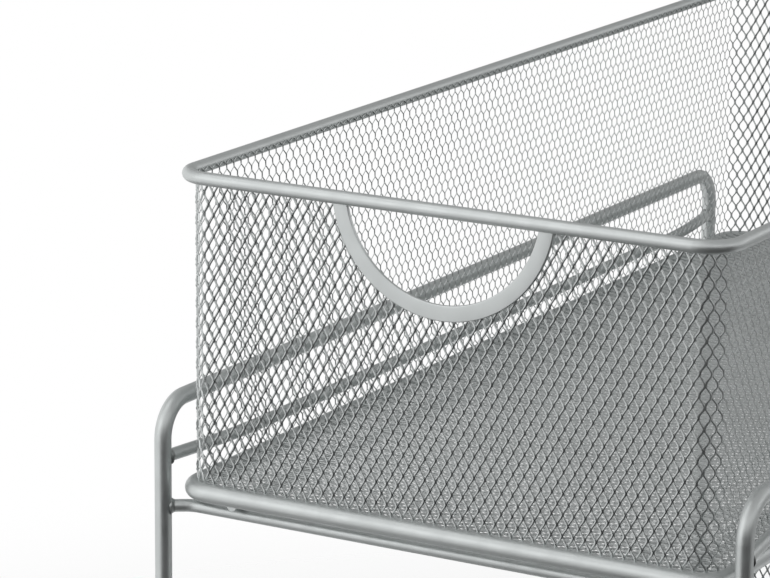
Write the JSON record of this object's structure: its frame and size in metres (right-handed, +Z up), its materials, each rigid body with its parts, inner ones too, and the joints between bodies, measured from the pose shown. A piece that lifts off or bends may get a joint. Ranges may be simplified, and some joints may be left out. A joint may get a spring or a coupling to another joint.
{
  "type": "under sink organizer",
  "caption": "Wire frame on legs that carries stacked mesh baskets. Each basket slides forward on its runner wires and has a half-round hand-hold under its front rim.",
  "frame": {"origin": "on the floor, under the middle of the organizer", "axes": "+Z up, +Y to the back so the baskets pull out towards -Y, +X to the right seen from the front"},
  "size_m": [0.232, 0.4546, 0.3924],
  "materials": {
    "wire": "satin silver",
    "mesh": "satin silver",
    "foot": "matt grey"
  },
  "bodies": {
    "frame": {"left_top_bar": "wire", "right_top_bar": "wire", "front_left_leg": "wire", "front_right_leg": "wire", "rear_left_leg": "wire", "rear_right_leg": "wire", "upper_front_cross_rod": "wire", "upper_rear_cross_rod": "wire", "upper_left_guide_rod": "wire", "upper_right_guide_rod": "wire", "lower_front_cross_rod": "wire", "lower_rear_cross_rod": "wire", "lower_left_guide_rod": "wire", "lower_right_guide_rod": "wire", "front_left_foot": "foot", "front_right_foot": "foot", "rear_left_foot": "foot", "rear_right_foot": "foot"},
    "upper_basket": {"upper_top_rim": "wire", "upper_bottom_rim": "wire", "upper_front_mesh": "mesh", "upper_rear_mesh": "mesh", "upper_left_mesh": "mesh", "upper_right_mesh": "mesh", "upper_floor_mesh": "mesh", "upper_handle_trim": "wire", "upper_left_runner": "wire", "upper_right_runner": "wire"},
    "lower_basket": {"lower_top_rim": "wire", "lower_bottom_rim": "wire", "lower_front_mesh": "mesh", "lower_rear_mesh": "mesh", "lower_left_mesh": "mesh", "lower_right_mesh": "mesh", "lower_floor_mesh": "mesh", "lower_handle_trim": "wire", "lower_left_runner": "wire", "lower_right_runner": "wire"}
  },
  "joints": [
    {"name": "upper_basket_slide", "type": "slide", "parent": "frame", "child": "upper_basket", "axis": [0, -1, 0], "range_m": [0, 0.3]},
    {"name": "lower_basket_slide", "type": "slide", "parent": "frame", "child": "lower_basket", "axis": [0, -1, 0], "range_m": [0, 0.3]}
  ]
}
